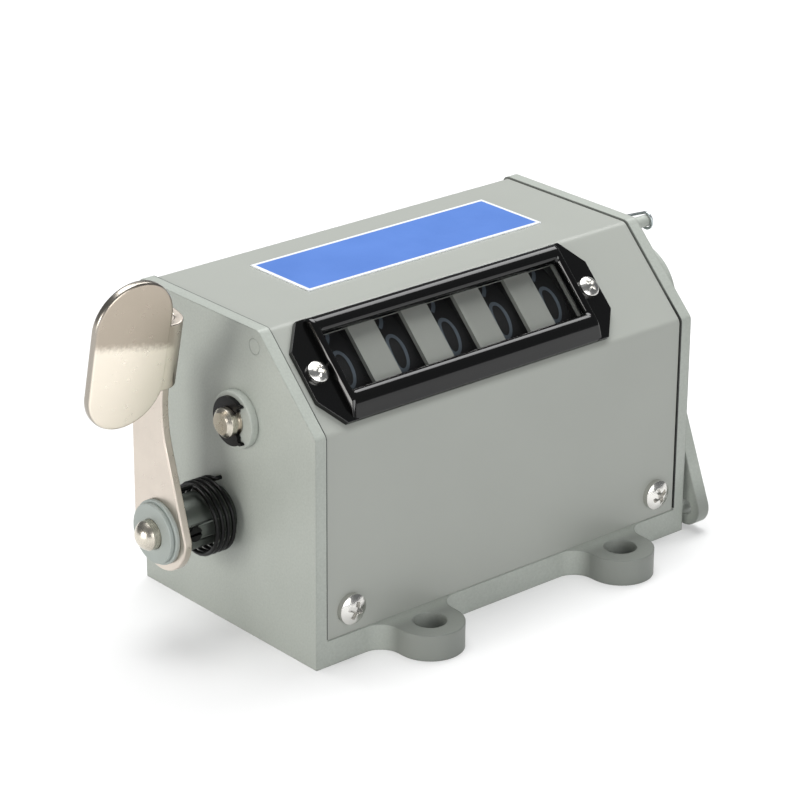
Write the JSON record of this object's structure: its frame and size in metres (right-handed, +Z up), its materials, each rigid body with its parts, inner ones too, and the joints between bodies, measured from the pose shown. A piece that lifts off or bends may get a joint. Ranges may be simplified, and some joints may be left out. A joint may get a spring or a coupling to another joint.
{
  "type": "mechanical pull counter",
  "caption": "Five-figure mechanical stroke counter with a pull arm, a framed window on a sloped front, a thumb reset lever and a lugged cast base.",
  "frame": {"origin": "centre of the four mounting holes, on the underside of the base", "axes": "+X along the length towards the pull arm, -Y the way the windows face, +Z up"},
  "size_m": [0.1438, 0.0804, 0.0814],
  "materials": {
    "casting": "semi-gloss grey-green enamel on a fine cast surface",
    "cover_paint": "glossy warm grey enamel",
    "bright_screw": "bright plated screws",
    "black_moulding": "gloss black moulding",
    "clear_lens": "clear plate",
    "label_print": "blue enamelled foil",
    "bright_steel": "turned bright steel",
    "dull_steel": "plain grey steel",
    "dark_steel": "dark grey oiled steel",
    "black_steel": "black oxide",
    "zinc_plate": "blue-white zinc plate",
    "leaf_steel": "rolled spring steel",
    "brass": "turned brass",
    "wheel_moulding": "matt black moulding",
    "nickel_plate": "warm satin nickel plate"
  },
  "bodies": {
    "housing": {"frame": "casting", "cover": "cover_paint", "cover_screws": "bright_screw", "bezel": "black_moulding", "window_lens": "clear_lens", "bezel_screws": "bright_screw", "label_plate": "label_print", "tie_rod": "casting", "click_spring": "leaf_steel", "click_screw": "bright_screw", "pivot_rod": "bright_steel", "arm_washer": "dull_steel", "shaft_washer": "casting", "return_spring": "zinc_plate", "reset_spring": "black_steel"},
    "pull": {"drive_shaft": "bright_steel", "shaft_clip": "black_steel", "stack_collar": "brass", "pull_arm": "casting", "arm_screw": "black_steel", "pawl_carrier": "dull_steel", "drive_pawl": "leaf_steel", "pawl_rivet": "brass"},
    "units": {"units_wheel": "wheel_moulding", "ratchet_wheel": "brass"},
    "tens": {"tens_wheel": "wheel_moulding"},
    "hundreds": {"hundreds_wheel": "wheel_moulding"},
    "thousands": {"thousands_wheel": "wheel_moulding"},
    "ten_thousands": {"ten_thousands_wheel": "wheel_moulding"},
    "cradle": {"pinion_frame": "dull_steel", "pinion_shaft": "bright_steel"},
    "pinion_a": {"tens_pinion": "brass"},
    "pinion_b": {"hundreds_pinion": "brass"},
    "pinion_c": {"thousands_pinion": "brass"},
    "pinion_d": {"ten_thousands_pinion": "brass"},
    "reset": {"reset_shaft": "bright_steel", "reset_lever": "nickel_plate", "lever_washer": "dull_steel", "end_washer": "dull_steel", "reset_bush": "dark_steel", "bush_screw": "black_steel", "reset_hammers": "dull_steel", "release_cam": "dull_steel", "reset_clip": "black_steel"}
  },
  "joints": [
    {"name": "arm_pull", "type": "hinge", "parent": "housing", "child": "pull", "pos_m": [0, -0.0044, 0.0457], "axis": [-1, 0, 0], "range_deg": [0, 40], "stiffness_Nm_per_rad": 0.06, "springref_deg": -22.92, "deforming": ["return_spring", "drive_pawl"]},
    {"name": "reset_press", "type": "hinge", "parent": "housing", "child": "reset", "pos_m": [0, 0.002, 0.0238], "axis": [-1, 0, 0], "range_deg": [0, 50], "stiffness_Nm_per_rad": 0.06, "springref_deg": -34.38, "deforming": ["reset_spring"]},
    {"name": "units_turn", "type": "hinge", "parent": "housing", "child": "units", "pos_m": [0, -0.0044, 0.0457], "axis": [-1, 0, 0], "continuous": true, "deforming": ["click_spring"]},
    {"name": "tens_turn", "type": "hinge", "parent": "housing", "child": "tens", "pos_m": [0, -0.0044, 0.0457], "axis": [-1, 0, 0], "continuous": true},
    {"name": "hundreds_turn", "type": "hinge", "parent": "housing", "child": "hundreds", "pos_m": [0, -0.0044, 0.0457], "axis": [-1, 0, 0], "continuous": true},
    {"name": "thousands_turn", "type": "hinge", "parent": "housing", "child": "thousands", "pos_m": [0, -0.0044, 0.0457], "axis": [-1, 0, 0], "continuous": true},
    {"name": "ten_thousands_turn", "type": "hinge", "parent": "housing", "child": "ten_thousands", "pos_m": [0, -0.0044, 0.0457], "axis": [-1, 0, 0], "continuous": true},
    {"name": "cradle_swing", "type": "hinge", "parent": "housing", "child": "cradle", "pos_m": [0, 0.0131, 0.0307], "axis": [-1, 0, 0], "range_deg": [0, 15]},
    {"name": "tens_pinion_turn", "type": "hinge", "parent": "cradle", "child": "pinion_a", "pos_m": [0, 0.0131, 0.0457], "axis": [-1, 0, 0], "continuous": true},
    {"name": "hundreds_pinion_turn", "type": "hinge", "parent": "cradle", "child": "pinion_b", "pos_m": [0, 0.0131, 0.0457], "axis": [-1, 0, 0], "continuous": true},
    {"name": "thousands_pinion_turn", "type": "hinge", "parent": "cradle", "child": "pinion_c", "pos_m": [0, 0.0131, 0.0457], "axis": [-1, 0, 0], "continuous": true},
    {"name": "ten_thousands_pinion_turn", "type": "hinge", "parent": "cradle", "child": "pinion_d", "pos_m": [0, 0.0131, 0.0457], "axis": [-1, 0, 0], "continuous": true}
  ],
  "couplings": [
    {"joint": "tens_turn", "follows": "units_turn", "ratio": 0.1},
    {"joint": "tens_pinion_turn", "follows": "units_turn", "ratio": -0.25},
    {"joint": "hundreds_turn", "follows": "units_turn", "ratio": 0.01},
    {"joint": "hundreds_pinion_turn", "follows": "units_turn", "ratio": -0.025},
    {"joint": "thousands_turn", "follows": "units_turn", "ratio": 0.001},
    {"joint": "thousands_pinion_turn", "follows": "units_turn", "ratio": -0.0025},
    {"joint": "ten_thousands_turn", "follows": "units_turn", "ratio": 0.0001},
    {"joint": "ten_thousands_pinion_turn", "follows": "units_turn", "ratio": -0.00025},
    {"joint": "cradle_swing", "follows": "reset_press", "ratio": 0.3}
  ]
}
